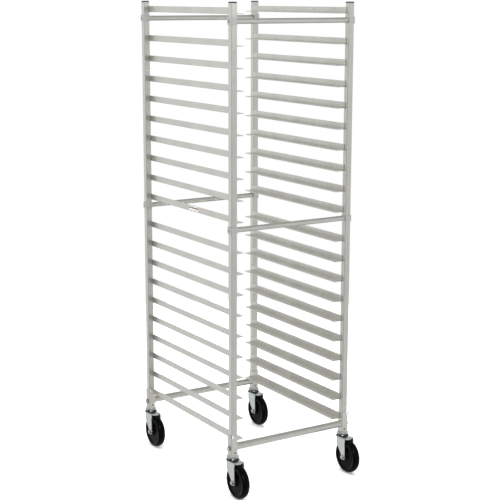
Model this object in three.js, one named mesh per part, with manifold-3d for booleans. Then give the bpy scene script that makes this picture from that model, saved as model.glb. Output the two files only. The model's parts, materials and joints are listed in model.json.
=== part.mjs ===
// End-load sheet pan rack on four swivel casters, in millimetres with +Z up.
// X runs across the width, Y along the depth in the direction a pan slides, Z is height.
// The origin is on the floor, midway between the four wheel axles.

import * as THREE from 'three';
import { mergeVertices } from 'three/addons/utils/BufferGeometryUtils.js';
import Module from 'manifold-3d';

// --- Driving dimensions -----------------------------------------------------------------

const RACK_WIDTH = 514.4;          // outer faces of the uprights, across X
const RACK_DEPTH = 660.4;          // outer faces of the uprights, along Y
const UPRIGHT_SIZE = 22.6;         // square tube
const UPRIGHT_WALL = 1.6;
const UPRIGHT_CORNER = 1.6;
const UPRIGHT_INNER_CORNER = 0.6;
const UPRIGHT_BOTTOM = 150;        // height of the tube's lower end over the floor
const UPRIGHT_TOP = 1766;
const UPRIGHT_SEAT = 0.3;          // how far the tube is sunk into the caster's upper race

const LEDGE_COUNT = 20;
const LEDGE_TOP_HEIGHT = 1725.5;   // underside of the highest ledge
const LEDGE_PITCH = 76.6;
const LEDGE_WIDE_PITCH = 108.9;    // the spaces that a cross brace passes through
const LEDGES_BELOW_BRACE = [1, 10];
const LEDGE_THICKNESS = 2.6;
const LEDGE_FLANGE_HEIGHT = 22.5;
const LEDGE_SHELF_WIDTH = 36;
const LEDGE_SETBACK = 13.6;        // from the uprights' outer face to the ledge's end
const LEDGE_CORNER = 5;

const BRACE_RADIUS = 9.5;
const BRACE_WALL = 1.6;
const TOP_BRACE_HEIGHT = 1702.3;
const MID_BRACE_HEIGHT = 982.2;
const SADDLE_THICKNESS = 3;
const SADDLE_HEIGHT = 24.6;
const TALL_SADDLE_HEIGHT = 79.5;    // the lower one, which ends flush with the tube
const SADDLE_CORNER = 4;
const SADDLE_BITE = 0.4;           // how far a saddle is sunk into the tube it is fixed to

const LOWER_BRACE_RADIUS = 12.7;
const LOWER_BRACE_HEIGHT = 184.2;

const CASTER_TRAIL = 36;           // axle behind the swivel axis
const WHEEL_RADIUS = 63.5;
const WHEEL_WIDTH = 30;
const WHEEL_FACETS = 32;
const TREAD_FLAT_WIDTH = 12;
const TREAD_CROWN = 6;
const TREAD_SHOULDER = 4;
const HUB_RADIUS = 17;
const HUB_WIDTH = 35;
const WEB_WIDTH = 18;
const HUB_FILLET = 4;
const RIM_INNER_RADIUS = 49;
const RIM_EDGE = 1;                // rounding of the rim and the slope from web to rim
const RIM_SLOPE = 3;
const AXLE_RADIUS = 4.75;
const WHEEL_BORE_RADIUS = 5.05;
const AXLE_HEAD_RADIUS = 8.5;
const AXLE_HEAD_LENGTH = 6.5;
const AXLE_HEAD_BITE = 0.2;        // how far a head is sunk into its fork leg

const RACE_RADIUS = 24.5;
const RACE_FACETS = 24;
const UPPER_RACE_THICKNESS = 5;
const RACE_GAP = 1;
const LOWER_RACE_THICKNESS = 7;
const LOWER_RACE_FLANGE = 2.4;
const LOWER_RACE_NECK_RADIUS = 19.6;
const CROWN_THICKNESS = 3;
const CROWN_LIP_HEIGHT = 8;        // the crown's front edge, folded down between the legs
const FORK_INNER_WIDTH = 38;
const FORK_PLATE = 3;
const FORK_FRONT = -42;            // the fork's top, from here on the trail side
const FORK_BACK = 7;               // to here behind the swivel axis
const FORK_NOSE_DROP = 14;         // the leading edge leans forward down to here
const FORK_NOSE_LEAN = 1.5;
const FORK_HEEL_DROP = 30;         // the trailing edge stands upright down to here
const FORK_TOE_RADIUS = 12.5;
const STEM_RADIUS = 8.5;
const STEM_LENGTH = 62;
const KINGPIN_RADIUS = 5;
const KINGPIN_BORE_RADIUS = 5.4;
const KINGPIN_REACH = 24;          // above the upper race's underside

// --- Derived positions ------------------------------------------------------------------

const UPRIGHT_X = (RACK_WIDTH - UPRIGHT_SIZE) / 2;
const UPRIGHT_Y = (RACK_DEPTH - UPRIGHT_SIZE) / 2;
const INNER_FACE_X = RACK_WIDTH / 2 - UPRIGHT_SIZE;
// A wheel stands on the middle of one tread facet.
const AXLE_HEIGHT = WHEEL_RADIUS * Math.cos(Math.PI / WHEEL_FACETS);
const UPPER_RACE_BOTTOM = UPRIGHT_BOTTOM - UPPER_RACE_THICKNESS;
const LOWER_RACE_TOP = UPPER_RACE_BOTTOM - RACE_GAP;
const FORK_TOP = LOWER_RACE_TOP - LOWER_RACE_THICKNESS;

// --- Materials --------------------------------------------------------------------------

const material = (color, roughness, metalness) =>
  new THREE.MeshStandardMaterial({ color, roughness, metalness });

const ALUMINIUM = material(0xc9c8c2, 0.38, 0.9);
const ZINC = material(0xc4cac6, 0.3, 0.95);
const BLACK_RUBBER = material(0x101011, 0.35, 0.0);

// --- Solid helpers ----------------------------------------------------------------------

const wasm = await Module();
wasm.setup();

function toSolid(geometry) {
  const plain = geometry.clone();
  plain.deleteAttribute('normal');
  plain.deleteAttribute('uv');
  const merged = mergeVertices(plain, 1e-4);
  return new wasm.Manifold(new wasm.Mesh({
    numProp: 3,
    vertProperties: new Float32Array(merged.attributes.position.array),
    triVerts: new Uint32Array(merged.index.array),
  }));
}

function toGeometry(solid) {
  const mesh = solid.getMesh();
  const geometry = new THREE.BufferGeometry();
  geometry.setAttribute('position', new THREE.BufferAttribute(mesh.vertProperties, 3));
  geometry.setIndex(new THREE.BufferAttribute(mesh.triVerts, 1));
  geometry.computeVertexNormals();
  return geometry;
}

function join(geometries) {
  return toGeometry(geometries.map(toSolid).reduce((whole, piece) => whole.add(piece)));
}

function cut(geometry, tools) {
  return toGeometry(tools.map(toSolid).reduce((whole, tool) => whole.subtract(tool), toSolid(geometry)));
}

function roundedRectangle(target, width, height, radius) {
  const x = width / 2 - radius;
  const y = height / 2 - radius;
  const turn = Math.PI / 2;
  target.absarc(x, y, radius, 0, turn);
  target.absarc(-x, y, radius, turn, 2 * turn);
  target.absarc(-x, -y, radius, 2 * turn, 3 * turn);
  target.absarc(x, -y, radius, 3 * turn, 4 * turn);
  target.closePath();
  return target;
}

// An outline in X and Y, raised from z = bottom by height.
function extrude(shape, bottom, height, curveSegments = 3) {
  const geometry = new THREE.ExtrudeGeometry(shape, { depth: height, bevelEnabled: false, curveSegments });
  return geometry.translate(0, 0, bottom);
}

// A square tube standing on z = bottom.
function squareTube(size, wall, corner, bottom, height) {
  const shape = roundedRectangle(new THREE.Shape(), size, size, corner);
  const inner = size - 2 * wall;
  shape.holes.push(roundedRectangle(new THREE.Path(), inner, inner, UPRIGHT_INNER_CORNER));
  return extrude(shape, bottom, height);
}

function box(sizeX, sizeY, sizeZ, x, y, z) {
  return new THREE.BoxGeometry(sizeX, sizeY, sizeZ).translate(x, y, z);
}

// A cylinder with its axis along X, centred on (x, y, z).
function rod(radius, length, x, y, z, segments = 16) {
  const geometry = new THREE.CylinderGeometry(radius, radius, length, segments);
  return geometry.rotateZ(Math.PI / 2).translate(x, y, z);
}

// A cylinder on the Z axis that stands on z = bottom.
function post(radius, bottom, height, segments = 16) {
  const geometry = new THREE.CylinderGeometry(radius, radius, height, segments);
  return geometry.rotateX(Math.PI / 2).translate(0, 0, bottom + height / 2);
}

// --- Frame pieces -----------------------------------------------------------------------

// The clamp that holds a brace's end: a folded strap on the upright's outer side, with a
// leg along its front and its back. It is drawn for an upright whose outer side faces +X.
function saddle(centre, height) {
  const open = -UPRIGHT_SIZE / 2;
  const outer = UPRIGHT_SIZE / 2 + SADDLE_THICKNESS;
  const inner = UPRIGHT_SIZE / 2 - SADDLE_BITE;
  const bend = outer - SADDLE_CORNER;
  const strap = new THREE.Shape();
  strap.moveTo(open, -outer);
  strap.absarc(bend, -bend, SADDLE_CORNER, -Math.PI / 2, 0);
  strap.absarc(bend, bend, SADDLE_CORNER, 0, Math.PI / 2);
  strap.lineTo(open, outer);
  strap.lineTo(open, inner);
  strap.lineTo(inner, inner);
  strap.lineTo(inner, -inner);
  strap.lineTo(open, -inner);
  strap.closePath();
  return extrude(strap, centre - height / 2, height);
}

// The fixed half of a caster: the upper race under the upright and the stem inside it,
// bored for the kingpin.
function casterMount() {
  // The bore runs 1 mm past the race's underside and 1 mm over the kingpin's top.
  const bore = post(KINGPIN_BORE_RADIUS, UPPER_RACE_BOTTOM - 1, KINGPIN_REACH + 2);
  const solid = join([
    post(RACE_RADIUS, UPPER_RACE_BOTTOM, UPPER_RACE_THICKNESS, RACE_FACETS),
    post(STEM_RADIUS, UPPER_RACE_BOTTOM, STEM_LENGTH),
  ]);
  return cut(solid, [bore]);
}

// A square tube with its brace saddles and its caster's fixed half. outward is +1 or -1
// along X.
function upright(outward) {
  const bottom = UPRIGHT_BOTTOM - UPRIGHT_SEAT;
  const whole = join([
    squareTube(UPRIGHT_SIZE, UPRIGHT_WALL, UPRIGHT_CORNER, bottom, UPRIGHT_TOP - bottom),
    saddle(TOP_BRACE_HEIGHT, SADDLE_HEIGHT),
    saddle(MID_BRACE_HEIGHT, SADDLE_HEIGHT),
    saddle(UPRIGHT_BOTTOM + TALL_SADDLE_HEIGHT / 2, TALL_SADDLE_HEIGHT),
    casterMount(),
  ]);
  return outward > 0 ? whole : whole.rotateZ(Math.PI);
}

// An angle with its shelf at the bottom. The flange's back is on x = 0 and the shelf
// reaches to x = LEDGE_SHELF_WIDTH, with its two free corners rounded.
function ledge() {
  const half = RACK_DEPTH / 2 - LEDGE_SETBACK;
  const far = LEDGE_SHELF_WIDTH;
  const shelf = new THREE.Shape();
  shelf.moveTo(0, -half);
  shelf.lineTo(far - LEDGE_CORNER, -half);
  shelf.absarc(far - LEDGE_CORNER, -half + LEDGE_CORNER, LEDGE_CORNER, -Math.PI / 2, 0);
  shelf.lineTo(far, half - LEDGE_CORNER);
  shelf.absarc(far - LEDGE_CORNER, half - LEDGE_CORNER, LEDGE_CORNER, 0, Math.PI / 2);
  shelf.lineTo(0, half);
  shelf.closePath();
  const flange = box(LEDGE_THICKNESS, 2 * half, LEDGE_FLANGE_HEIGHT,
    LEDGE_THICKNESS / 2, 0, LEDGE_FLANGE_HEIGHT / 2);
  return join([extrude(shelf, 0, LEDGE_THICKNESS), flange]);
}

function ledgeHeights() {
  const heights = [LEDGE_TOP_HEIGHT];
  for (let number = 1; number < LEDGE_COUNT; number += 1) {
    const drop = LEDGES_BELOW_BRACE.includes(number) ? LEDGE_WIDE_PITCH : LEDGE_PITCH;
    heights.push(heights[number - 1] - drop);
  }
  return heights;
}

// A round tube across the rack, from one upright's inner face to the other's.
function crossBrace(radius) {
  const length = 2 * INNER_FACE_X;
  const outline = new THREE.Shape().absarc(0, 0, radius, 0, 2 * Math.PI);
  outline.holes.push(new THREE.Path().absarc(0, 0, radius - BRACE_WALL, 0, 2 * Math.PI));
  return extrude(outline, -length / 2, length, 10).rotateY(Math.PI / 2);
}

// --- Caster pieces, with the swivel axis on x = y = 0 and the trail towards -Y -------------

// The outline of a fork leg in Y and Z: its leading edge stands nearly upright and its
// trailing edge slants in to a round toe at the axle.
function forkLegOutline() {
  const toe = new THREE.Vector2(-CASTER_TRAIL, AXLE_HEIGHT);
  const shape = new THREE.Shape();
  shape.moveTo(FORK_BACK, FORK_TOP);
  shape.lineTo(FORK_FRONT, FORK_TOP);
  shape.lineTo(FORK_FRONT - FORK_NOSE_LEAN, FORK_TOP - FORK_NOSE_DROP);
  shape.absarc(toe.x, toe.y, FORK_TOE_RADIUS, 0.97 * Math.PI, 2.1 * Math.PI);
  shape.lineTo(FORK_BACK, FORK_TOP - FORK_HEEL_DROP);
  shape.closePath();
  return shape;
}

// One leg, standing in the plane whose inner side is at x = side * FORK_INNER_WIDTH / 2.
function forkLeg(side) {
  const leg = extrude(forkLegOutline(), 0, FORK_PLATE, 5);
  // Outline axes (Y, Z) and the raised direction X take the place of (X, Y) and Z.
  leg.applyMatrix4(new THREE.Matrix4().set(0, 0, 1, 0, 1, 0, 0, 0, 0, 1, 0, 0, 0, 0, 0, 1));
  const inner = FORK_INNER_WIDTH / 2;
  return leg.translate(side > 0 ? inner : -inner - FORK_PLATE, 0, 0);
}

// The swivelling yoke, with its race, kingpin, axle and axle heads fixed to it.
function fork() {
  const width = FORK_INNER_WIDTH + 2 * FORK_PLATE;
  const kingpinTop = UPPER_RACE_BOTTOM + KINGPIN_REACH;
  const headCentre = width / 2 + AXLE_HEAD_LENGTH / 2 - AXLE_HEAD_BITE;
  const pieces = [
    post(RACE_RADIUS, FORK_TOP - CROWN_THICKNESS, CROWN_THICKNESS + LOWER_RACE_FLANGE, RACE_FACETS),
    post(LOWER_RACE_NECK_RADIUS, FORK_TOP, LOWER_RACE_THICKNESS, RACE_FACETS),
    post(KINGPIN_RADIUS, FORK_TOP, kingpinTop - FORK_TOP),
    box(width, FORK_BACK - FORK_FRONT, CROWN_THICKNESS,
      0, (FORK_FRONT + FORK_BACK) / 2, FORK_TOP - CROWN_THICKNESS / 2),
    box(width, FORK_PLATE, CROWN_LIP_HEIGHT,
      0, FORK_FRONT + FORK_PLATE / 2, FORK_TOP - CROWN_LIP_HEIGHT / 2),
    rod(AXLE_RADIUS, width, 0, -CASTER_TRAIL, AXLE_HEIGHT),
    forkLeg(-1),
    forkLeg(1),
  ];
  for (const side of [-1, 1]) {
    pieces.push(rod(AXLE_HEAD_RADIUS, AXLE_HEAD_LENGTH, side * headCentre, -CASTER_TRAIL, AXLE_HEIGHT, 6));
  }
  return join(pieces);
}

// Half of a wheel's section as points of (radius, distance from the mid plane).
function wheelSection() {
  return [
    [WHEEL_BORE_RADIUS, HUB_WIDTH / 2],
    [HUB_RADIUS, HUB_WIDTH / 2],
    [HUB_RADIUS + HUB_FILLET, WEB_WIDTH / 2],
    [RIM_INNER_RADIUS - RIM_SLOPE, WEB_WIDTH / 2],
    [RIM_INNER_RADIUS, WHEEL_WIDTH / 2 - RIM_EDGE],
    [WHEEL_RADIUS - TREAD_CROWN - TREAD_SHOULDER, WHEEL_WIDTH / 2],
    [WHEEL_RADIUS - TREAD_CROWN / 2, WHEEL_WIDTH / 2 - TREAD_CROWN / 2],
    [WHEEL_RADIUS, TREAD_FLAT_WIDTH / 2],
  ];
}

// A solid wheel turning about X, with a hub, a dished web and a crowned tread.
function wheel() {
  const half = wheelSection();
  const mirrored = half.map(([radius, offset]) => [radius, -offset]).reverse();
  const points = [...half, ...mirrored, half[0]].map(([radius, offset]) => new THREE.Vector2(radius, offset));
  const geometry = new THREE.LatheGeometry(points.reverse(), WHEEL_FACETS);
  // Half a facet of turn puts the middle of one facet at the bottom.
  geometry.rotateY(Math.PI / WHEEL_FACETS);
  return geometry.rotateZ(Math.PI / 2).translate(0, -CASTER_TRAIL, AXLE_HEIGHT);
}

// --- Assembly ---------------------------------------------------------------------------

const rack = new THREE.Group();
// The frame stands forward of the wheels' midpoint by the casters' trail.
rack.position.set(0, CASTER_TRAIL, 0);

function place(name, geometry, look, x, y, z) {
  const mesh = new THREE.Mesh(geometry, look);
  mesh.name = name;
  mesh.position.set(x, y, z);
  rack.add(mesh);
}

const CORNERS = [
  { name: 'front_left', x: -1, y: -1 },
  { name: 'front_right', x: 1, y: -1 },
  { name: 'back_left', x: -1, y: 1 },
  { name: 'back_right', x: 1, y: 1 },
];
const ENDS = [
  { name: 'front', y: -1 },
  { name: 'back', y: 1 },
];

const forkGeometry = fork();
const wheelGeometry = wheel();
for (const corner of CORNERS) {
  const x = corner.x * UPRIGHT_X;
  const y = corner.y * UPRIGHT_Y;
  place(`upright_${corner.name}`, upright(corner.x), ALUMINIUM, x, y, 0);
  place(`caster_fork_${corner.name}`, forkGeometry, ZINC, x, y, 0);
  place(`caster_wheel_${corner.name}`, wheelGeometry, BLACK_RUBBER, x, y, 0);
}

const braceGeometry = crossBrace(BRACE_RADIUS);
const lowerBraceGeometry = crossBrace(LOWER_BRACE_RADIUS);
for (const end of ENDS) {
  const y = end.y * UPRIGHT_Y;
  place(`top_brace_${end.name}`, braceGeometry, ALUMINIUM, 0, y, TOP_BRACE_HEIGHT);
  place(`mid_brace_${end.name}`, braceGeometry, ALUMINIUM, 0, y, MID_BRACE_HEIGHT);
  place(`lower_brace_${end.name}`, lowerBraceGeometry, ALUMINIUM, 0, y, LOWER_BRACE_HEIGHT);
}

const leftLedge = ledge();
// The right-hand ledge is the left one turned end for end.
const rightLedge = leftLedge.clone().rotateZ(Math.PI);
ledgeHeights().forEach((height, index) => {
  const number = String(index + 1).padStart(2, '0');
  place(`ledge_left_${number}`, leftLedge, ALUMINIUM, -INNER_FACE_X, 0, height);
  place(`ledge_right_${number}`, rightLedge, ALUMINIUM, INNER_FACE_X, 0, height);
});

export default rack;
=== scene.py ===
"""Looks of the sheet pan rack: detailed pieces, materials, light and camera.

Shapes are drawn in millimetres and placed in metres. X runs across the rack, Y from front
to back and Z up.
"""

import json
import math

import bmesh
import bpy
from mathutils import Matrix, Vector


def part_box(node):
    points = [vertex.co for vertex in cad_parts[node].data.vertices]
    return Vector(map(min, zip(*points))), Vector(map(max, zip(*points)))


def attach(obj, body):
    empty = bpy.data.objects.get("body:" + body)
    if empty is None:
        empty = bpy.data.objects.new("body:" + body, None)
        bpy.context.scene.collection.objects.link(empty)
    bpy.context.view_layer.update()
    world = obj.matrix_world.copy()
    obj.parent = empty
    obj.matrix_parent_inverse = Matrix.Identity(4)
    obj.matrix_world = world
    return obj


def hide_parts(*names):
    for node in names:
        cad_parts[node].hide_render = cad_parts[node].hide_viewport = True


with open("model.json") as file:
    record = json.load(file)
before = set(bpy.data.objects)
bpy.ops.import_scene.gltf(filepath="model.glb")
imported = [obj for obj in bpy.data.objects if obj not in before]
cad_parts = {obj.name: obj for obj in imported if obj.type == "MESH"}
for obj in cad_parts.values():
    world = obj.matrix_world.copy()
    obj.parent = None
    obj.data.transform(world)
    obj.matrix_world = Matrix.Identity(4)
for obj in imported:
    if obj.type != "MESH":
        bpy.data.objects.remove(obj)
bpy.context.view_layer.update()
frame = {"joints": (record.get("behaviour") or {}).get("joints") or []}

MM = 0.001
CORNERS = ("front_left", "front_right", "back_left", "back_right")
ENDS = ("front", "back")
SIDES = ("left", "right")
LEDGE_NUMBERS = range(1, 21)
SADDLE_LEVELS = ("top", "mid")
BRACE_LEVELS = ("top", "mid", "lower")

# A turned profile starts and ends this close to its axis, in millimetres.
CORE = 0.01

# Frame, in millimetres.
TUBE_SIZE = 22.6
TUBE_WALL = 1.6
TUBE_CORNER = 1.7
TUBE_INNER_CORNER = 0.8
TUBE_BOTTOM = 150.0
CAP_RIM = 3.4
CAP_OVERHANG = 0.4
CAP_CROWN = 1.2
CAP_CROWN_INSET = 1.5
CAP_PLUG_DEPTH = 14.0
CAP_PLUG_PLAY = 0.1
LEDGE_THICKNESS = 2.6
LEDGE_CORNER = 5.0
LEDGE_BEND = 2.4
LEDGE_FILLET = 1.0
LEDGE_EDGE = 0.7
BRACE_WALL = 1.6
SADDLE_THICKNESS = 3.0
SADDLE_BEND = 3.6
SADDLE_HEIGHT = 24.6
TALL_SADDLE_HEIGHT = 79.5
SADDLE_FACE = TUBE_SIZE / 2 + SADDLE_THICKNESS
BUTTON_RADIUS = 5.2
BUTTON_HEIGHT = 2.6
BUTTON_WASHER_RADIUS = 7.0
BUTTON_WASHER = 1.0
RECESS_FLOOR = BUTTON_WASHER + BUTTON_HEIGHT * 0.3
LOWER_BOLT_HEIGHT = 181.0
LOWER_BOLT_FLATS = 12.7
LOWER_BOLT_HEAD = 5.2
LOWER_BOLT_WASHER_RADIUS = 7.6
LOWER_BOLT_WASHER = 2.2
DARK_WASHER_RADIUS = 9.6
DARK_WASHER = 1.6
BEAD_HALF_LENGTH = 4.6
BEAD_ACROSS = TUBE_SIZE / 2 + 1.1
BEAD_ALONG = 4.5
# Each ledge's two weld beads: the height over the ledge's underside, and the radius.
BEADS = ((22.5, 1.3), (-0.2, 1.1))
TACK_HEIGHT = 227.0
TACK_LENGTH = 13.0
TACK_ACROSS = 9.0
TACK_SLOT_ACROSS = 12.4
TACK_SLOT_WIDTH = 1.8
DRAIN_HEIGHT = 165.0
DRAIN_ACROSS = -1.0
DRAIN_RADIUS = 3.1
STICKER_LENGTH = 66.0
STICKER_HEIGHT = 17.0
STICKER_THICKNESS = 0.15
STICKER_BAND_MIDDLE = 1.5
STICKER_BAND_HALF_WIDTH = 2.2
STICKER_CENTRE = 14.0

# Casters, in millimetres, with the swivel axis on x = y = 0.
TRAIL = 36.0
FORK_TOP = 137.0
FORK_FRONT = -42.0
FORK_BACK = 7.0
FORK_WIDTH = 44.0
FORK_PLATE = 3.0
FORK_BEND = 6.0
FORK_TOE = 10.8
LIP_HEIGHT = 8.0
LIP_BEND = 5.0
RACE_RADIUS = 24.5
UPPER_RACE_BOTTOM = 147.2
LOWER_RACE_BOTTOM = 136.8
LOWER_RACE_TOP = 138.3
BALL_COUNT = 16
BALL_RADIUS = 2.1
BALL_RING_RADIUS = 12.0
BALL_RING_HEIGHT = 142.4
AXLE_RADIUS = 4.7
AXLE_END = 8.4
AXLE_FLATS = 14.2
AXLE_HEAD = 5.4
AXLE_NUT = 6.0
AXLE_WASHER_RADIUS = 9.6
AXLE_WASHER = 1.2
WHEEL_RADIUS = 63.5
WHEEL_HALF_WIDTH = 15.0
TREAD_START_RADIUS = 54.0
BUSHING_BORE = 5.0
BUSHING_HALF_WIDTH = 17.9

# These lay a prism's outline (x, y) in (y, z), with its height along X or against it.
HEIGHT_ALONG_X = Matrix(((0, 0, 1, 0), (1, 0, 0, 0), (0, 1, 0, 0), (0, 0, 0, 1)))
HEIGHT_AGAINST_X = Matrix(((0, 0, -1, 0), (1, 0, 0, 0), (0, 1, 0, 0), (0, 0, 0, 1)))


# --- Mesh helpers -----------------------------------------------------------------------


def new_object(name, verts, faces):
    """A mesh object from points in millimetres."""
    mesh = bpy.data.meshes.new(name)
    mesh.from_pydata([tuple(c * MM for c in v) for v in verts], [], faces)
    bm = bmesh.new()
    bm.from_mesh(mesh)
    bmesh.ops.remove_doubles(bm, verts=bm.verts, dist=1e-6)
    bmesh.ops.recalc_face_normals(bm, faces=bm.faces)
    bm.to_mesh(mesh)
    bm.free()
    obj = bpy.data.objects.new(name, mesh)
    bpy.context.scene.collection.objects.link(obj)
    return shaded(obj)


def applied(obj):
    """Puts the result of an object's modifiers into its mesh."""
    bpy.context.view_layer.update()
    evaluated = obj.evaluated_get(bpy.context.evaluated_depsgraph_get())
    mesh = bpy.data.meshes.new_from_object(evaluated)
    obj.modifiers.clear()
    obj.data = mesh
    return obj


def shaded(obj):
    """Smooth shading that keeps flat faces flat and breaks at edges over 35 degrees."""
    obj.data.shade_smooth()
    obj.data.set_sharp_from_angle(angle=math.radians(35))
    normals = obj.modifiers.new("normals", "WEIGHTED_NORMAL")
    normals.keep_sharp = True
    normals.weight = 80
    return applied(obj)


def joined(name, parts):
    """One object that holds the meshes of several, which are then removed."""
    bm = bmesh.new()
    for part in parts:
        bm.from_mesh(part.data)
    mesh = bpy.data.meshes.new(name)
    bm.to_mesh(mesh)
    bm.free()
    for part in parts:
        bpy.data.objects.remove(part)
    obj = bpy.data.objects.new(name, mesh)
    bpy.context.scene.collection.objects.link(obj)
    return shaded(obj)


def moved(obj, x=0.0, y=0.0, z=0.0, turn=None):
    """Moves a mesh's points, in millimetres, after an optional turn (angle, axis)."""
    if turn:
        obj.data.transform(Matrix.Rotation(math.radians(turn[0]), 4, turn[1]))
    obj.data.transform(Matrix.Translation(Vector((x, y, z)) * MM))
    return obj


def bevelled(obj, width, segments=2, angle=40):
    """Rounds an object's sharp edges in its mesh."""
    modifier = obj.modifiers.new("bevel", "BEVEL")
    modifier.width = width * MM
    modifier.segments = segments
    modifier.limit_method = "ANGLE"
    modifier.angle_limit = math.radians(angle)
    return shaded(applied(obj))


def lathe(name, profile, segments=48, axis="Z"):
    """A closed profile of (radius, height) turned about an axis."""
    verts = []
    for step in range(segments):
        angle = 2 * math.pi * step / segments
        for radius, height in profile:
            verts.append((radius * math.cos(angle), radius * math.sin(angle), height))
    count = len(profile)
    faces = []
    for step in range(segments):
        nearer = step * count
        further = (step + 1) % segments * count
        for i in range(count):
            j = (i + 1) % count
            faces.append((nearer + i, nearer + j, further + j, further + i))
    obj = new_object(name, verts, faces)
    if axis == "X":
        obj.data.transform(Matrix.Rotation(math.radians(90), 4, "Y"))
    return obj


def prism(name, outline, low, high, hole=None):
    """An outline of (x, y) points raised from z = low to high, with an optional hole."""
    verts = [(x, y, low) for x, y in outline] + [(x, y, high) for x, y in outline]
    count = len(outline)
    faces = [(i, (i + 1) % count, count + (i + 1) % count, count + i) for i in range(count)]
    if hole is None:
        faces.append(tuple(range(count)))
        faces.append(tuple(range(2 * count - 1, count - 1, -1)))
        return new_object(name, verts, faces)
    start = len(verts)
    verts += [(x, y, low) for x, y in hole] + [(x, y, high) for x, y in hole]
    for i in range(count):
        j = (i + 1) % count
        faces.append((start + i, start + j, start + count + j, start + count + i))
        faces.append((i, j, start + j, start + i))
        faces.append((count + i, count + j, start + count + j, start + count + i))
    return new_object(name, verts, faces)


def trimmed(obj, tool, operation):
    """Cuts or keeps what a second solid covers, which is then removed."""
    modifier = obj.modifiers.new("trim", "BOOLEAN")
    modifier.operation = operation
    modifier.solver = "EXACT"
    modifier.object = tool
    applied(obj)
    bpy.data.objects.remove(tool)
    return obj


def arc(cx, cy, radius, start, end, steps):
    """Points on an arc, by angles in degrees."""
    points = []
    for step in range(steps + 1):
        angle = math.radians(start + (end - start) * step / steps)
        points.append((cx + radius * math.cos(angle), cy + radius * math.sin(angle)))
    return points


def filleted(outline, steps=5):
    """An open outline of (x, y, radius) corners, with each corner drawn as its arc."""
    points = [outline[0][:2]]
    for before, corner, after in zip(outline, outline[1:], outline[2:]):
        at = Vector(corner[:2])
        back = (Vector(before[:2]) - at).normalized()
        ahead = (Vector(after[:2]) - at).normalized()
        half_angle = back.angle(ahead) / 2
        middle = (back + ahead).normalized()
        centre = at + middle * (corner[2] / math.sin(half_angle))
        reach = corner[2] / math.tan(half_angle)
        start, end = at + back * reach - centre, at + ahead * reach - centre
        for step in range(steps + 1):
            on_arc = centre + start.slerp(end, step / steps) if corner[2] else at
            points.append(tuple(on_arc))
    return points + [outline[-1][:2]]


def rounded_square(size, radius, steps=5):
    half = size / 2 - radius
    points = []
    for quarter, (sx, sy) in enumerate(((1, 1), (-1, 1), (-1, -1), (1, -1))):
        points += arc(sx * half, sy * half, radius, 90 * quarter, 90 * quarter + 90, steps)
    return points


def rounded_slot(width, length):
    """An upright oblong with round ends."""
    reach = (length - width) / 2
    return arc(0, reach, width / 2, 0, 180, 6) + arc(0, -reach, width / 2, 180, 360, 6)


def hexagon(across_flats):
    radius = across_flats / math.sqrt(3)
    return arc(0, 0, radius, 0, 300, 5)


def finish_piece(obj, body, material):
    obj.data.materials.clear()
    obj.data.materials.append(material)
    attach(obj, body)
    return obj


def copy_of(obj, name, place=(0, 0, 0), turn=0.0):
    """A second object on the same mesh, turned about Z by degrees and placed in metres."""
    twin = bpy.data.objects.new(name, obj.data)
    bpy.context.scene.collection.objects.link(twin)
    twin.location = place
    twin.rotation_euler = (0, 0, math.radians(turn))
    return twin


def remove_all(shapes):
    for shape in shapes:
        bpy.data.objects.remove(shape)


# --- Materials --------------------------------------------------------------------------


class Shader:
    """A small node tree builder around one Principled BSDF."""

    def __init__(self, name):
        self.material = bpy.data.materials.new(name)
        self.material.use_nodes = True
        self.tree = self.material.node_tree
        self.bsdf = self.tree.nodes["Principled BSDF"]
        self.coordinates = self.node("ShaderNodeTexCoord").outputs["Object"]

    def node(self, kind, **settings):
        made = self.tree.nodes.new(kind)
        for key, value in settings.items():
            if key in made.inputs:
                made.inputs[key].default_value = value
            else:
                setattr(made, key, value)
        return made

    def link(self, source, target):
        self.tree.links.new(source, target)

    def set(self, **values):
        for key, value in values.items():
            self.bsdf.inputs[key.replace("_", " ")].default_value = value

    def noise(self, scale, stretch=(1, 1, 1), detail=4.0, roughness=0.55):
        mapping = self.node("ShaderNodeMapping", Scale=stretch)
        self.link(self.coordinates, mapping.inputs["Vector"])
        noise = self.node("ShaderNodeTexNoise", Scale=scale, Detail=detail, Roughness=roughness)
        self.link(mapping.outputs["Vector"], noise.inputs["Vector"])
        return noise.outputs["Fac"]

    def spread(self, value, low, high, source_low=0.3, source_high=0.7):
        ramp = self.node("ShaderNodeMapRange")
        ramp.inputs["From Min"].default_value = source_low
        ramp.inputs["From Max"].default_value = source_high
        ramp.inputs["To Min"].default_value = low
        ramp.inputs["To Max"].default_value = high
        self.link(value, ramp.inputs["Value"])
        return ramp.outputs["Result"]

    def sum(self, first, second):
        add = self.node("ShaderNodeMath", operation="ADD")
        self.link(first, add.inputs[0])
        self.link(second, add.inputs[1])
        return add.outputs["Value"]

    def mix(self, factor, first, second):
        mix = self.node("ShaderNodeMix", data_type="RGBA")
        self.link(factor, mix.inputs["Factor"])
        start, end = [socket for socket in mix.inputs if socket.type == "RGBA"]
        start.default_value = (*first, 1)
        end.default_value = (*second, 1)
        return next(out for out in mix.outputs if out.type == "RGBA")

    def tint(self, pattern, dark, light):
        """Colours the surface from dark to light by a noise pattern."""
        self.colour(self.mix(self.spread(pattern, 0, 1), dark, light))

    def colour(self, socket):
        self.link(socket, self.bsdf.inputs["Base Color"])

    def roughness(self, socket):
        self.link(socket, self.bsdf.inputs["Roughness"])

    def bump(self, height, strength, distance):
        bump = self.node("ShaderNodeBump", Strength=strength, Distance=distance)
        self.link(height, bump.inputs["Height"])
        self.link(bump.outputs["Normal"], self.bsdf.inputs["Normal"])


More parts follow.
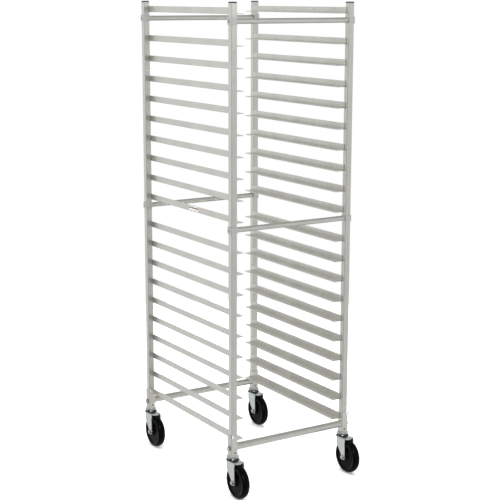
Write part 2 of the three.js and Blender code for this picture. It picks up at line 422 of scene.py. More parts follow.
def aluminium(name, stretch, dark, light, smooth, rough):
    """Satin aluminium. stretch sets the drawing lines' or the rolled grain's scale by axis."""
    shader = Shader(name)
    shader.set(Metallic=1.0)
    lines = shader.noise(1.0, stretch, detail=5.0)
    clouds = shader.noise(9.0, detail=3.0)
    smudges = shader.noise(42.0, detail=6.0, roughness=0.65)
    tone = shader.sum(shader.spread(lines, 0.0, 0.5), shader.spread(clouds, 0.0, 0.5))
    shader.colour(shader.mix(tone, dark, light))
    wear = shader.sum(shader.spread(smudges, 0.0, 0.10), shader.spread(lines, smooth, rough))
    shader.roughness(wear)
    shader.bump(lines, 0.12, 0.0004)
    return shader.material


def zinc():
    """Bright zinc plate: cool, with a faint spangle and small smears."""
    shader = Shader("bright_zinc")
    shader.set(Metallic=1.0)
    cells = shader.node("ShaderNodeTexVoronoi", Scale=170.0)
    shader.link(shader.coordinates, cells.inputs["Vector"])
    spangle = shader.spread(cells.outputs["Distance"], 0.0, 0.45, 0.0, 0.9)
    smears = shader.noise(60.0, (1, 1, 0.35), detail=5.0)
    tone = shader.sum(spangle, shader.spread(smears, 0.0, 0.55))
    shader.colour(shader.mix(tone, (0.56, 0.61, 0.60), (0.84, 0.875, 0.86)))
    shader.roughness(shader.spread(smears, 0.16, 0.34))
    shader.bump(smears, 0.1, 0.0004)
    return shader.material


def bright_steel():
    """Machined steel of the fasteners, the balls and the wheels' bushings."""
    shader = Shader("machined_steel")
    shader.set(Metallic=1.0)
    grain = shader.noise(900.0, detail=3.0)
    patches = shader.noise(120.0, detail=3.0)
    shader.tint(patches, (0.55, 0.55, 0.53), (0.82, 0.82, 0.79))
    shader.roughness(shader.spread(grain, 0.16, 0.32))
    shader.bump(grain, 0.06, 0.0002)
    return shader.material


def wheel_rubber():
    """Moulded black wheel: semi-gloss, with flow marks and a little dust on it."""
    shader = Shader("black_wheel_rubber")
    shader.set(Specular_IOR_Level=0.07)
    flow = shader.noise(70.0, (0.5, 1, 1), detail=5.0)
    dust = shader.noise(260.0, detail=6.0, roughness=0.7)
    tone = shader.spread(dust, 0.0, 1.0, 0.52, 0.78)
    shader.colour(shader.mix(tone, (0.001, 0.001, 0.001), (0.005, 0.005, 0.005)))
    shader.roughness(shader.spread(flow, 0.18, 0.32))
    shader.bump(dust, 0.1, 0.0003)
    return shader.material


def cap_plastic():
    """Matte black plastic of the tube caps, with a moulded grain."""
    shader = Shader("black_cap_plastic")
    grain = shader.noise(1400.0, detail=3.0)
    scuffs = shader.noise(150.0, detail=5.0)
    shader.tint(scuffs, (0.025, 0.025, 0.025), (0.06, 0.06, 0.06))
    shader.set(Specular_IOR_Level=0.4)
    shader.roughness(shader.spread(scuffs, 0.38, 0.6))
    shader.bump(grain, 0.15, 0.0002)
    return shader.material


def weld_highlight_white():
    """Weld metal painted white as a bright highlight, rippled along the bead."""
    shader = Shader("weld_painted_highlight")
    ripples = shader.noise(700.0, detail=4.0)
    shader.tint(ripples, (0.84, 0.84, 0.82), (0.98, 0.98, 0.96))
    shader.roughness(shader.spread(ripples, 0.35, 0.55))
    shader.bump(ripples, 0.2, 0.0004)
    return shader.material


def seal_steel():
    """Polished steel of the bearings' seals, painted dark as the shade between the races."""
    shader = Shader("seal_steel")
    shader.set(Metallic=1.0)
    seal_shade_tone = shader.noise(180.0, detail=4.0)
    shader.tint(seal_shade_tone, (0.12, 0.125, 0.12), (0.22, 0.23, 0.225))
    shader.roughness(shader.spread(seal_shade_tone, 0.12, 0.20))
    return shader.material


def shade_dark_steel():
    """Steel painted near-black as shade: the bearing's lower race in the gap between the races, and
    the foot bolts' washers.
    """
    shader = Shader("shade_dark_steel")
    shader.set(Metallic=1.0)
    shade_variation = shader.noise(220.0, detail=4.0)
    shader.tint(shade_variation, (0.05, 0.055, 0.05), (0.11, 0.12, 0.115))
    shader.roughness(shader.spread(shade_variation, 0.14, 0.22))
    return shader.material


def painted_shade_gap():
    """Near-black painted shade for the inside of a small hole, a slot or a bolt's recess."""
    shader = Shader("painted_shade_gap")
    # The mottle only varies the painted shade a little.
    shade_mottle = shader.noise(400.0, detail=4.0)
    shader.tint(shade_mottle, (0.004, 0.004, 0.004), (0.02, 0.018, 0.016))
    shader.roughness(shader.spread(shade_mottle, 0.35, 0.6))
    return shader.material


def floor_paint():
    """Pale matt floor that glows a little, so that it stays white."""
    shader = Shader("pale_floor")
    shader.set(Emission_Color=(1, 1, 1, 1), Emission_Strength=0.25)
    mottle = shader.noise(3.0, detail=4.0)
    shader.tint(mottle, (0.90, 0.90, 0.90), (0.93, 0.93, 0.93))
    shader.roughness(shader.spread(mottle, 0.55, 0.7))
    return shader.material


DRAWN_DARK = (0.70, 0.696, 0.652)
DRAWN_LIGHT = (0.87, 0.866, 0.820)
ROLLED_GRAIN = (260, 260, 200)
UPRIGHT_METAL = aluminium("upright_aluminium", (900, 900, 3), DRAWN_DARK, DRAWN_LIGHT, 0.20, 0.30)
BRACE_METAL = aluminium("brace_aluminium", (3, 900, 900), DRAWN_DARK, DRAWN_LIGHT, 0.30, 0.38)
LEDGE_METAL = aluminium("ledge_aluminium", (900, 3, 900), DRAWN_DARK, DRAWN_LIGHT, 0.20, 0.30)
SADDLE_METAL = aluminium("saddle_aluminium", ROLLED_GRAIN,
                         (0.80, 0.795, 0.745), (0.93, 0.925, 0.87), 0.50, 0.60)
# A darker copy of the saddle aluminium: painted shade for the straps' faces, which reflect darker.
STRAP_SHADED_METAL = aluminium("strap_aluminium_shaded", ROLLED_GRAIN,
                        (0.68, 0.675, 0.65), (0.82, 0.815, 0.79), 0.44, 0.54)
ZINC = zinc()
STEEL = bright_steel()
RUBBER = wheel_rubber()
CAP_BLACK = cap_plastic()
# Painted shade: near-black, put in holes, slots and recesses.
SHADE_BLACK = painted_shade_gap()
# Near-white painted highlight for the tacks.
WELD_HIGHLIGHT = weld_highlight_white()
# Painted shade: near-black steel for the bearing gap and the foot bolts' washers.
SHADE_STEEL = shade_dark_steel()
# Painted shade: the seal steel is darkened to read as the gap between the races.
SEAL_STEEL = seal_steel()


# --- Frame pieces -----------------------------------------------------------------------


def swivel_axis(corner):
    """The point on the floor under a caster's swivel axis, in metres."""
    joint = next(j for j in frame["joints"] if j["name"] == f"swivel_{corner}")
    return Vector((joint["pos_m"][0], joint["pos_m"][1], 0))


def outward(corner):
    """+1 or -1: the way along X that faces away from the pans at this corner."""
    return 1 if "right" in corner else -1


def tube_shape(top):
    outer = rounded_square(TUBE_SIZE, TUBE_CORNER)
    inner = rounded_square(TUBE_SIZE - 2 * TUBE_WALL, TUBE_INNER_CORNER)
    return bevelled(prism("tube_shape", outer, TUBE_BOTTOM, top - CAP_RIM, inner), 0.25, 1)


def cap_shape(top):
    """A pressed-in cap: a crowned rim on the tube's end, over a plug inside it."""
    seat = top - CAP_RIM
    rim_outline = rounded_square(TUBE_SIZE + 2 * CAP_OVERHANG, 2.2)
    crown_outline = rounded_square(TUBE_SIZE - 2 * CAP_CROWN_INSET, 1.4)
    plug_size = TUBE_SIZE - 2 * TUBE_WALL - 2 * CAP_PLUG_PLAY
    rim = prism("rim", rim_outline, seat, top)
    raised = prism("raised", crown_outline, top - 0.1, top + CAP_CROWN)
    plug_outline = rounded_square(plug_size, TUBE_INNER_CORNER)
    plug = prism("plug", plug_outline, top - CAP_PLUG_DEPTH, seat + 0.1)
    return joined("cap_shape", [bevelled(rim, 0.8, 3), bevelled(raised, 0.8, 3), plug])


def saddle_shape(centre, height):
    """A folded strap round the outer side of an upright whose outer side faces +X."""
    half = TUBE_SIZE / 2
    outer = SADDLE_FACE
    bend = outer - SADDLE_BEND
    inner_bend = SADDLE_BEND - SADDLE_THICKNESS
    seat = half - inner_bend
    outline = [(-half, -outer)]
    outline += arc(bend, -bend, SADDLE_BEND, -90, 0, 6)
    outline += arc(bend, bend, SADDLE_BEND, 0, 90, 6)
    outline += [(-half, outer), (-half, half)]
    outline += arc(seat, seat, inner_bend, 90, 0, 4)
    outline += arc(seat, -seat, inner_bend, 0, -90, 4)
    outline += [(-half, -half)]
    strap = prism("strap", outline, centre - height / 2, centre + height / 2)
    return bevelled(strap, 0.7, 2, 50)


def hex_bolt(across_flats, head, washer_radius, washer):
    """A hex head on a washer, standing on the plane x = 0 and facing +X."""
    disc_profile = [(CORE, 0), (washer_radius, 0), (washer_radius, washer * 0.7),
                    (washer_radius - 0.5, washer), (CORE, washer)]
    disc = lathe("disc", disc_profile, 32, "X")
    block = prism("hexagonal", hexagon(across_flats), washer, washer + head)
    hexagonal = bevelled(block, 0.6, 2, 20)
    hexagonal.data.transform(Matrix.Rotation(math.radians(90), 4, "Y"))
    return joined("hex_bolt", [disc, hexagonal])


def button_bolt():
    """A round button head with a round recess, on a washer on the plane x = 0, facing +X."""
    profile = [(CORE, 0), (BUTTON_WASHER_RADIUS, 0), (BUTTON_WASHER_RADIUS - 0.4, BUTTON_WASHER),
               (BUTTON_RADIUS, BUTTON_WASHER)]
    for step in range(7):
        angle = math.radians(8 + 8 * step)
        height = BUTTON_WASHER + BUTTON_HEIGHT * math.sin(angle)
        profile.append((BUTTON_RADIUS * math.cos(angle), height))
    profile += [(BUTTON_RADIUS * 0.48, RECESS_FLOOR), (CORE, RECESS_FLOOR)]
    return lathe("button_bolt", profile, 32, "X")


def bolt_recess_shade():
    """A black disc at the bottom of a button head's recess, as painted shade."""
    low, radius = RECESS_FLOOR - 0.1, BUTTON_RADIUS * 0.5
    profile = [(CORE, low), (radius, low), (radius, RECESS_FLOOR + 0.3), (CORE, RECESS_FLOOR + 0.2)]
    return lathe("bolt_recess_shade", profile, 24, "X")


def dark_washer():
    """The flat washer around a low saddle's bolt, painted dark as the shade round the bolt."""
    rim = DARK_WASHER_RADIUS
    profile = [(6.0, 0), (rim, 0), (rim, 1.2), (9.1, DARK_WASHER), (6.0, DARK_WASHER)]
    return lathe("washer", profile, 32, "X")


def bead_shape(radius):
    """A short, slightly uneven weld bead along Y."""
    half = BEAD_HALF_LENGTH
    profile = [(CORE, -half), (radius * 0.8, -half + 0.6), (radius, -half * 0.4),
               (radius * 0.92, 0.2), (radius * 1.04, half * 0.4), (radius * 0.7, half - 0.5),
               (CORE, half)]
    return moved(lathe("bead", profile, 8), turn=(90, "X"))


def weld_beads(corner, ledge_heights):
    """The two short beads that hold each ledge's flange on an upright's inner face."""
    across = -outward(corner) * BEAD_ACROSS
    along = BEAD_ALONG if "front" in corner else -BEAD_ALONG
    beads = []
    for height in ledge_heights:
        for level, radius in BEADS:
            beads.append(moved(bead_shape(radius), across, along, height + level))
    return joined(f"weld_beads_{corner}", beads)


def upright_shapes():
    """Every piece of an upright whose outer side faces +X, with its material."""
    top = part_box("upright_front_left")[1].z / MM
    heights = {}
    for level in SADDLE_LEVELS:
        low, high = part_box(f"{level}_brace_front")
        heights[level] = (low.z + high.z) / 2 / MM
    tall_centre = TUBE_BOTTOM + TALL_SADDLE_HEIGHT / 2
    shapes = {
        "upright_tube": (tube_shape(top), UPRIGHT_METAL),
        "tube_cap": (cap_shape(top), CAP_BLACK),
        "top_saddle": (saddle_shape(heights["top"], SADDLE_HEIGHT), STRAP_SHADED_METAL),
        "mid_saddle": (saddle_shape(heights["mid"], SADDLE_HEIGHT), STRAP_SHADED_METAL),
        "low_saddle": (saddle_shape(tall_centre, TALL_SADDLE_HEIGHT), SADDLE_METAL),
    }
    for level, height in heights.items():
        shapes[f"{level}_bolt"] = (moved(button_bolt(), SADDLE_FACE, 0, height), STEEL)
        # The recess's black disc is painted shade.
        shapes[f"{level}_bolt_recess"] = (moved(bolt_recess_shade(), SADDLE_FACE, 0, height), SHADE_BLACK)
    low_bolt = hex_bolt(LOWER_BOLT_FLATS, LOWER_BOLT_HEAD, LOWER_BOLT_WASHER_RADIUS,
                        LOWER_BOLT_WASHER)
    shapes["low_bolt"] = (moved(low_bolt, SADDLE_FACE, 0, LOWER_BOLT_HEIGHT), STEEL)
    shapes["low_washer"] = (moved(dark_washer(), SADDLE_FACE, 0, LOWER_BOLT_HEIGHT), SHADE_STEEL)
    return shapes


def make_uprights():
    ledge_heights = [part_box(f"ledge_left_{n:02d}")[0].z / MM for n in LEDGE_NUMBERS]
    shapes = upright_shapes()
    for corner in CORNERS:
        place = swivel_axis(corner)
        turn = 0 if outward(corner) > 0 else 180
        for name, (shape, material) in shapes.items():
            piece = copy_of(shape, f"{name}_{corner}", place, turn)
            finish_piece(piece, "frame", material)
            if name == "upright_tube":
                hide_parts(f"upright_{corner}")
        beads = weld_beads(corner, ledge_heights)
        beads.location = place
        finish_piece(beads, "frame", SADDLE_METAL)
    remove_all(shape for shape, _ in shapes.values())


def ledge_section(reach, flange):
    """The angle's section in (x, z), with its shelf out to x = reach."""
    thick = LEDGE_THICKNESS
    edge = LEDGE_EDGE
    inner_bend = thick + LEDGE_FILLET
    points = arc(LEDGE_BEND, LEDGE_BEND, LEDGE_BEND, 180, 270, 4)
    points += arc(reach - edge, edge, edge, -90, 0, 2)
    points += arc(reach - edge, thick - edge, edge, 0, 90, 2)
    points += arc(inner_bend, inner_bend, LEDGE_FILLET, 270, 180, 3)
    points += arc(thick - edge, flange - edge, edge, 0, 90, 2)
    points += arc(edge, flange - edge, edge, 90, 180, 2)
    return points


def ledge_stations(length, reach):
    """The section's places along Y and its shelf's reach there, with rounded shelf corners."""
    stations = []
    for inset in (0.0, 0.25, 1.0, 2.2, 3.6, LEDGE_CORNER):
        cut = LEDGE_CORNER - math.sqrt(LEDGE_CORNER ** 2 - (LEDGE_CORNER - inset) ** 2)
        stations.append((inset - length / 2, reach - cut))
    return stations + [(-y, tip) for y, tip in reversed(stations)]


def ledge_shape():
    """A left ledge with its flange's outer face on x = 0 and its middle on y = 0."""
    low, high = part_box("ledge_left_01")
    reach = (high.x - low.x) / MM
    flange = (high.z - low.z) / MM
    stations = ledge_stations((high.y - low.y) / MM, reach)
    verts = []
    for y, tip in stations:
        verts += [(x, y, z) for x, z in ledge_section(tip, flange)]
    count = len(verts) // len(stations)
    faces = [tuple(range(count)), tuple(range(len(verts) - 1, len(verts) - count - 1, -1))]
    for row in range(len(stations) - 1):
        for i in range(count):
            j = (i + 1) % count
            a = row * count
            faces.append((a + i, a + j, a + count + j, a + count + i))
    return new_object("ledge_shape", verts, faces)


def make_ledges():
    shape = ledge_shape()
    for side in SIDES:
        for number in LEDGE_NUMBERS:
            node = f"ledge_{side}_{number:02d}"
            low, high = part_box(node)
            back = low.x if side == "left" else high.x
            place = (back, (low.y + high.y) / 2, low.z)
            turn = 0 if side == "left" else 180
            piece = copy_of(shape, f"angle_{side}_{number:02d}", place, turn)
            finish_piece(piece, "frame", LEDGE_METAL)
            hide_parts(node)
    bpy.data.objects.remove(shape)


def sticker_paper():
    """A plain paper sticker: off-white, with a dark red band a little above its middle."""
    shader = Shader("plain_sticker_paper")
    split = shader.node("ShaderNodeSeparateXYZ")
    shader.link(shader.coordinates, split.inputs[0])
    wander = shader.spread(shader.noise(300.0, detail=3.0), -0.0006, 0.0006)
    height = shader.sum(split.outputs["Z"], wander)
    band = shader.node("ShaderNodeMath", operation="COMPARE")
    shader.link(height, band.inputs[0])
    band.inputs[1].default_value = STICKER_BAND_MIDDLE * MM
    band.inputs[2].default_value = STICKER_BAND_HALF_WIDTH * MM
    shader.colour(shader.mix(band.outputs["Value"], (0.86, 0.84, 0.80), (0.16, 0.02, 0.02)))
    shader.roughness(shader.spread(shader.noise(120.0), 0.4, 0.6))
    return shader.material


def make_sticker():
    """The sticker on the outside of the left tenth ledge's flange."""
    low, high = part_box("ledge_left_10")
    half, rise = STICKER_LENGTH / 2, STICKER_HEIGHT / 2
    outline = [(-half, -rise), (half, -rise), (half, rise), (-half, rise)]
    sticker = bevelled(prism("plain_sticker", outline, 0, STICKER_THICKNESS), 0.05, 1)
    sticker.data.transform(HEIGHT_AGAINST_X)
    sticker.location = (low.x, STICKER_CENTRE * MM, (low.z + high.z) / 2 + 1 * MM)
    finish_piece(sticker, "frame", sticker_paper())


def make_braces():
    for end in ENDS:
        for level in BRACE_LEVELS:
            node = f"{level}_brace_{end}"
            low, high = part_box(node)
            radius = (high.z - low.z) / 2 / MM
            half = (high.x - low.x) / 2 / MM
            inner = radius - BRACE_WALL
            profile = [(inner, -half), (radius - 0.5, -half), (radius, -half + 0.6),
                       (radius, half - 0.6), (radius - 0.5, half), (inner, half)]
            tube = lathe(f"round_{node}", profile, 56, "X")
            tube.location = (low + high) / 2
            finish_piece(tube, "frame", BRACE_METAL)
            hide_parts(node)


def tack_shape():
    """A weld tack, painted white as a highlight, with its long side upright, facing -Y."""
    half = TACK_LENGTH / 2
    profile = [(CORE, -half), (1.8, -half + 0.9), (2.4, -half / 2), (2.2, 0), (2.4, half / 2),
               (1.8, half - 0.9), (CORE, half)]
    return lathe("tack_shape", profile, 16)


def tack_slot_shape():
    """A flat black sheet, flush with the saddle, painted as the shade of a slot beside a tack, at
    the end of the saddle's bend.
    """
    outline = rounded_slot(TACK_SLOT_WIDTH, TACK_LENGTH)
    slot = prism("tack_slot_shape", outline, 0, 0.5)
    return moved(slot, turn=(90, "X"))


def drain_shapes():
    """A drilled hole's raised rim, and a thin black disc inside it as the hole's painted shade,
    facing -Y.
    """
    rim = lathe("rim", [(3.0, 0), (3.0, 0.3), (3.2, 0.4), (3.4, 0.25), (3.5, 0)], 24)
    hole_profile = [(CORE, 0.0), (DRAIN_RADIUS, 0.0), (DRAIN_RADIUS, 0.2), (0.8, 0.12), (CORE, 0.1)]
    hole = lathe("hole", hole_profile, 24)
    return moved(rim, turn=(90, "X")), moved(hole, turn=(90, "X"))


def make_low_saddle_details():
    """A tack, painted white as a highlight, and the painted shade of its slot near each low
    saddle's front bend, and a drain hole below them, whose inside is painted shade.
    """
    rim, hole = drain_shapes()
    front = -SADDLE_FACE
    shapes = {
        # The tack's white is a painted highlight.
        "tack": (tack_shape(), WELD_HIGHLIGHT, TACK_ACROSS, front + 0.6, TACK_HEIGHT),
        # Painted shade of a slot: a flat black sheet.
        "tack_slot": (tack_slot_shape(), SHADE_BLACK, TACK_SLOT_ACROSS, front + 0.5, TACK_HEIGHT),
        "drain_rim": (rim, SADDLE_METAL, DRAIN_ACROSS, front, DRAIN_HEIGHT),
        # The drain hole's inside is a black disc: painted shade.
        "drain_hole_shade": (hole, SHADE_BLACK, DRAIN_ACROSS, front, DRAIN_HEIGHT),
    }
    for corner in CORNERS:
        for name, (shape, material, across, depth, height) in shapes.items():
            place = swivel_axis(corner) + Vector((outward(corner) * across, depth, height)) * MM
            piece = copy_of(shape, f"{name}_{corner}", place)
            finish_piece(piece, "frame", material)
    remove_all(shape for shape, *_ in shapes.values())


# --- Caster pieces ----------------------------------------------------------------------


def upper_race_shape():
    """The fixed race: a plate with its lip turned down a little over the bearing."""
    r = RACE_RADIUS - 1.5
    top, low = TUBE_BOTTOM, UPPER_RACE_BOTTOM
    profile = [(9, top), (r - 1.2, top), (r - 0.3, top - 0.4), (r, top - 1.2), (r, low + 0.8),
               (r - 0.4, low + 0.2), (r - 1.4, low), (9, low)]
    return lathe("upper_race_shape", profile, 64)


def lower_race_shape():
    """The swivelling race on the fork's crown: a flat cup."""
    r = RACE_RADIUS - 0.8
    low, top = LOWER_RACE_BOTTOM, LOWER_RACE_TOP
    profile = [(6, low), (r - 0.5, low), (r, low + 0.4), (r, top - 0.4), (r - 0.5, top), (6, top)]
    return lathe("lower_race_shape", profile, 64)


def seal_shape():
    """The seal that closes the bearing between the races, with a sloping polished shoulder."""
    profile = [(16.4, 138.2), (19.6, 138.2), (19.4, 139.4), (21.2, 139.8), (21.5, 140.4),
               (20.6, 142.2), (19.4, 144.0), (18.2, 145.5), (17.6, 147.4), (16.4, 147.4)]
    return lathe("seal_shape", profile, 64)


def ball_ring_shape():
    """The balls between the races, inside the seal."""
    profile = [(CORE, -BALL_RADIUS)] + arc(0, 0, BALL_RADIUS, -66, 66, 6) + [(CORE, BALL_RADIUS)]
    balls = []
    for step in range(BALL_COUNT):
        angle = 2 * math.pi * step / BALL_COUNT
        x, y = BALL_RING_RADIUS * math.cos(angle), BALL_RING_RADIUS * math.sin(angle)
        balls.append(moved(lathe("ball", profile, 14), x, y, BALL_RING_HEIGHT))
    return joined("ball_ring_shape", balls)


def fork_channel(name, half, bend, low, back, front, steps):
    """A solid of the yoke's folded section, from y = -back to y = -front."""
    fold = FORK_TOP - FORK_BEND
    section = [(-half, low), (half, low)]
    section += arc(half - bend, fold, bend, 0, 90, steps)
    section += arc(-half + bend, fold, bend, 90, 180, steps)
    # A section in (x, z) is drawn flat, and its height runs along -Y.
    return moved(prism(name, section, back, front), turn=(90, "X"))


def fork_side(axle):
    """The yoke's side view as a solid: its crown, its lip and its legs round the axle."""
    side = [(FORK_BACK, FORK_TOP + 1), (FORK_FRONT + LIP_BEND, FORK_TOP + 1)]
    side += arc(FORK_FRONT + LIP_BEND, FORK_TOP - LIP_BEND, LIP_BEND, 90, 180, 6)
    side += [(FORK_FRONT - 1.5, FORK_TOP - 14)]
    side += arc(-TRAIL, axle, FORK_TOE, 175, 378, 16)
    side += [(FORK_BACK, FORK_TOP - 30)]
    reach = FORK_WIDTH / 2 + 3
    solid = prism("side", side, -reach, reach)
    solid.data.transform(HEIGHT_ALONG_X)
    return solid


def fork_mouth(inside, low):
    """The opening under the lip, whose lower edge is an arc from leg to leg."""
    sag = LIP_HEIGHT - FORK_PLATE
    radius = (inside ** 2 + sag ** 2) / (2 * sag)
    swing = math.degrees(math.asin(inside / radius))
    mouth = [(-inside, low), (inside, low)]
    mouth += arc(0, FORK_TOP - LIP_HEIGHT + radius, radius, 270 + swing, 270 - swing, 12)
    return moved(prism("mouth", mouth, 20, -FORK_FRONT + 20), turn=(90, "X"))


def fork_crown():
    """The yoke's round crown, which carries the lower race."""
    r, top = RACE_RADIUS, FORK_TOP
    low = top - FORK_PLATE
    profile = [(6, low), (r - 0.6, low), (r, low + 0.6), (r, top - 0.7), (r - 0.6, top), (6, top)]
    return lathe("crown", profile, 64)


def fork_shape(axle):
    """The pressed yoke: a folded sheet with two legs, a crown and a lip at its front."""
    half = FORK_WIDTH / 2
    inside = half - FORK_PLATE
    low = axle - FORK_TOE - 4
    block = fork_channel("block", half, FORK_BEND, low, -FORK_BACK - 2, -FORK_FRONT + 8, 6)
    cavity = fork_channel("cavity", inside, FORK_BEND - FORK_PLATE, low - 1, -FORK_BACK - 4,
                          -FORK_FRONT - FORK_PLATE, 5)
    trimmed(block, fork_side(axle), "INTERSECT")
    trimmed(block, cavity, "DIFFERENCE")
    trimmed(block, fork_mouth(inside, low - 1), "DIFFERENCE")
    return joined("fork_shape", [bevelled(block, 0.6, 2, 50), fork_crown()])


def axle_shape(axle):
    """The axle bolt with its hex head, its locknut and a washer on each side."""
    half = FORK_WIDTH / 2
    tip = -half - AXLE_END
    shaft_profile = [(CORE, tip), (AXLE_RADIUS - 0.5, tip), (AXLE_RADIUS, tip + 0.6),
                     (AXLE_RADIUS, half), (CORE, half)]
    shaft = lathe("shaft", shaft_profile, 24, "X")
    head = moved(hex_bolt(AXLE_FLATS, AXLE_HEAD, AXLE_WASHER_RADIUS, AXLE_WASHER), half)
    nut = moved(hex_bolt(AXLE_FLATS, AXLE_NUT, AXLE_WASHER_RADIUS, AXLE_WASHER), half)
    nut.data.transform(Matrix.Rotation(math.radians(180), 4, "Z"))
    return moved(joined("axle_shape", [shaft, head, nut]), 0, -TRAIL, axle)


def kingpin_end_shape():
    """The riveted end of the kingpin under the crown, with its washer."""
    profile = [(CORE, 127.5), (4.2, 127.8), (5.4, 129), (5.4, 131), (9, 131), (9, 134), (CORE, 134)]
    return lathe("kingpin_end_shape", profile, 28)


def wheel_profile():
    """The wheel's closed section as (radius, offset), both faces alike."""
    corners = [(9.6, 17.2, 0), (16.6, 17.2, 1.4), (18.4, 8.9, 3.6), (45.2, 8.6, 3.6),
               (49.0, 14.9, 1.8), (56.0, WHEEL_HALF_WIDTH, 0)]
    half = filleted(corners)[:-1]
    depth = WHEEL_RADIUS - TREAD_START_RADIUS
    for step in range(12):
        angle = math.radians(4 + 86 * step / 11)
        radius = TREAD_START_RADIUS + depth * math.sin(angle)
        half.append((radius, WHEEL_HALF_WIDTH * math.cos(angle)))
    return half + [(radius, -offset) for radius, offset in reversed(half[:-1])]


def hub_shape():
    """The steel bushing in the wheel's hub, with its flanged seals."""
    half = BUSHING_HALF_WIDTH
    profile = [(BUSHING_BORE, half), (8.6, half), (9.2, 17.5), (9.6, 17.2), (9.6, -17.2),
               (9.2, -17.5), (8.6, -half), (BUSHING_BORE, -half)]
    return lathe("hub_shape", profile, 40, "X")


def swivelling_shapes(axle):
    """Every piece that turns with a fork, with its material."""
    return {
        "fork_yoke": (fork_shape(axle), ZINC),
        # The lower race is painted near-black as the shade in the bearing's gap.
        "lower_race": (lower_race_shape(), SHADE_STEEL),
        "race_seal": (seal_shape(), SEAL_STEEL),
        "axle_bolt": (axle_shape(axle), STEEL),
        "kingpin_end": (kingpin_end_shape(), STEEL),
        "bearing_balls": (ball_ring_shape(), STEEL),
    }


def rolling_shapes(axle):
    """Every piece that turns with a wheel, with its material."""
    wheel = lathe("wheel_shape", wheel_profile(), 96, "X")
    return {
        "wheel": (moved(wheel, 0, -TRAIL, axle), RUBBER),
        "hub_bushing": (moved(hub_shape(), 0, -TRAIL, axle), STEEL),
    }


def make_casters():
    wheel_low, wheel_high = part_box("caster_wheel_front_left")
    axle = (wheel_low.z + wheel_high.z) / 2 / MM
    swivelling = swivelling_shapes(axle)
    rolling = rolling_shapes(axle)
    race = upper_race_shape()
    for corner in CORNERS:
        place = swivel_axis(corner)
        fixed = copy_of(race, f"upper_race_{corner}", place)
        finish_piece(fixed, "frame", ZINC)
        for name, (shape, material) in swivelling.items():
            piece = copy_of(shape, f"{name}_{corner}", place)
            finish_piece(piece, f"caster_{corner}", material)
            if name == "fork_yoke":
                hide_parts(f"caster_fork_{corner}")
        for name, (shape, material) in rolling.items():
            piece = copy_of(shape, f"{name}_{corner}", place)
            finish_piece(piece, f"wheel_{corner}", material)
            if name == "wheel":
                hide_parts(f"caster_wheel_{corner}")
    turning = list(swivelling.values()) + list(rolling.values())
    remove_all([race] + [shape for shape, _ in turning])


# --- Studio -----------------------------------------------------------------------------

CAMERA_PLACE = (-2.48724, -3.96266, 1.78635)
CAMERA_YAW = 32.151
CAMERA_PITCH = 11.467
CAMERA_ROLL = 0.133
CAMERA_LENS = 90.2
CAMERA_SENSOR = 36.0
FLOOR_RADIUS = 2600.0
FLOOR_DEPTH = 6.0

# Soft boxes: name, place, target, size, power, and whether the metal mirrors them.
SOFT_BOXES = (("key", (-2.2, -3.4, 3.4), (0, 0, 0.9), (0.7, 0.7), 26, True),
              ("rim", (-3.6, 1.6, 2.2), (0, 0, 0.7), (0.3, 1.2), 8, True),
              ("front_soft_box", (0.72, -2.2, 2.15), (-0.2, -0.3, 1.7), (0.6, 0.7), 1.4, True),
              ("overhead", (0.3, 0.2, 4.2), (0, 0, 0), (5.0, 5.0), 330, False))

# The studio's brightness by the sine of elevation, from straight down to straight up.
STUDIO_LEVELS = ((-1.0, 0.60), (-0.45, 0.64), (-0.12, 0.64), (0.02, 0.67), (0.25, 0.58),
                 (0.55, 0.40), (1.0, 0.32))
# Its lamps and dark flags: direction, widths in degrees at edge and core, added level.
STUDIO_PATCHES = (((-0.85, -0.53, 0.0), 58, 28, -0.42),
                  ((0.53, 0.83, 0.45), 32, 14, 0.22),
                  ((-0.64, 0.76, -0.10), 32, 10, 0.08),
                  ((0.46, -0.87, -0.19), 13, 4, -0.12),
                  ((-0.42, -0.66, 0.62), 26, 12, 2.00),
                  ((0.53, 0.83, -0.40), 34, 16, -0.22))


def make_camera():
    data = bpy.data.cameras.new("camera")
    data.lens = CAMERA_LENS
    data.sensor_width = CAMERA_SENSOR
    data.clip_end = 100
    camera = bpy.data.objects.new("camera", data)
    yaw, pitch = math.radians(CAMERA_YAW), math.radians(CAMERA_PITCH)
    level = math.cos(pitch)
    ahead = Vector((math.sin(yaw) * level, math.cos(yaw) * level, -math.sin(pitch)))
    turn = ahead.to_track_quat("-Z", "Y").to_matrix().to_4x4()
    roll = Matrix.Rotation(math.radians(CAMERA_ROLL), 4, "Z")
    camera.matrix_world = Matrix.Translation(CAMERA_PLACE) @ turn @ roll
    bpy.context.scene.collection.objects.link(camera)
    bpy.context.scene.camera = camera


def make_floor():
    """A pale disc that the metal doesn't mirror, so its reflections come from the studio."""
    profile = [(CORE, -FLOOR_DEPTH), (FLOOR_RADIUS, -FLOOR_DEPTH), (FLOOR_RADIUS, 0), (CORE, 0)]
    floor = lathe("floor", profile, 96)
    floor.data.materials.append(floor_paint())
    floor.visible_glossy = False


def soft_box(name, place, target, size, power, mirrored):
    """A soft box that lights the rack without showing in the picture."""
    data = bpy.data.lights.new(name, "AREA")
    data.shape = "RECTANGLE"
    data.size, data.size_y = size
    data.energy = power
    light = bpy.data.objects.new(name, data)
    light.location = place
    light.rotation_euler = (Vector(target) - Vector(place)).to_track_quat("-Z", "Y").to_euler()
    bpy.context.scene.collection.objects.link(light)
    light.visible_camera = False
    light.visible_glossy = mirrored


def make_lights():
    for settings in SOFT_BOXES:
        soft_box(*settings)


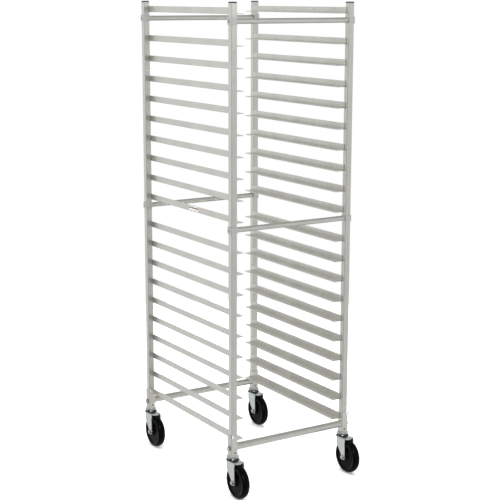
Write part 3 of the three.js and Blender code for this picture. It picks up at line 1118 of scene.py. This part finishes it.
def studio_level(nodes, links, direction):
    """The brightness by elevation, as one colour ramp."""
    split = nodes.new("ShaderNodeSeparateXYZ")
    links.new(direction, split.inputs[0])
    share = nodes.new("ShaderNodeMapRange")
    share.inputs["From Min"].default_value = -1.0
    links.new(split.outputs["Z"], share.inputs["Value"])
    ramp = nodes.new("ShaderNodeValToRGB")
    stops = ramp.color_ramp.elements
    while len(stops) < len(STUDIO_LEVELS):
        stops.new(0.5)
    for stop, (height, level) in zip(stops, STUDIO_LEVELS):
        stop.position = (height + 1) / 2
        stop.color = (level, level, level, 1)
    links.new(share.outputs["Result"], ramp.inputs["Fac"])
    return ramp.outputs["Color"]


def studio_patch(nodes, links, direction, patch):
    """One lamp or flag: a smooth round spot on the sky."""
    centre, edge, core, level = patch
    dot = nodes.new("ShaderNodeVectorMath")
    dot.operation = "DOT_PRODUCT"
    dot.inputs[1].default_value = Vector(centre).normalized()
    links.new(direction, dot.inputs[0])
    spot = nodes.new("ShaderNodeMapRange")
    spot.interpolation_type = "SMOOTHSTEP"
    spot.inputs["From Min"].default_value = math.cos(math.radians(edge))
    spot.inputs["From Max"].default_value = math.cos(math.radians(core))
    spot.inputs["To Max"].default_value = level
    links.new(dot.outputs["Value"], spot.inputs["Value"])
    return spot.outputs["Result"]


def make_world():
    """A plain white backdrop behind the rack, and a shaped studio that lights it."""
    world = bpy.data.worlds.new("studio")
    bpy.context.scene.world = world
    world.use_nodes = True
    nodes, links = world.node_tree.nodes, world.node_tree.links
    direction = nodes.new("ShaderNodeTexCoord").outputs["Generated"]
    total = studio_level(nodes, links, direction)
    for patch in STUDIO_PATCHES:
        add = nodes.new("ShaderNodeMath")
        links.new(total, add.inputs[0])
        links.new(studio_patch(nodes, links, direction, patch), add.inputs[1])
        total = add.outputs["Value"]
    studio = nodes["Background"]
    studio.inputs["Color"].default_value = (1, 1, 1, 1)
    links.new(total, studio.inputs["Strength"])
    backdrop = nodes.new("ShaderNodeBackground")
    backdrop.inputs["Color"].default_value = (1, 1, 1, 1)
    mix = nodes.new("ShaderNodeMixShader")
    links.new(nodes.new("ShaderNodeLightPath").outputs["Is Camera Ray"], mix.inputs["Fac"])
    links.new(studio.outputs[0], mix.inputs[1])
    links.new(backdrop.outputs[0], mix.inputs[2])
    links.new(mix.outputs[0], nodes["World Output"].inputs["Surface"])


make_camera()
make_uprights()
make_ledges()
make_sticker()
make_braces()
make_low_saddle_details()
make_casters()
make_floor()
make_world()
make_lights()
bpy.context.scene.view_settings.view_transform = "Standard"
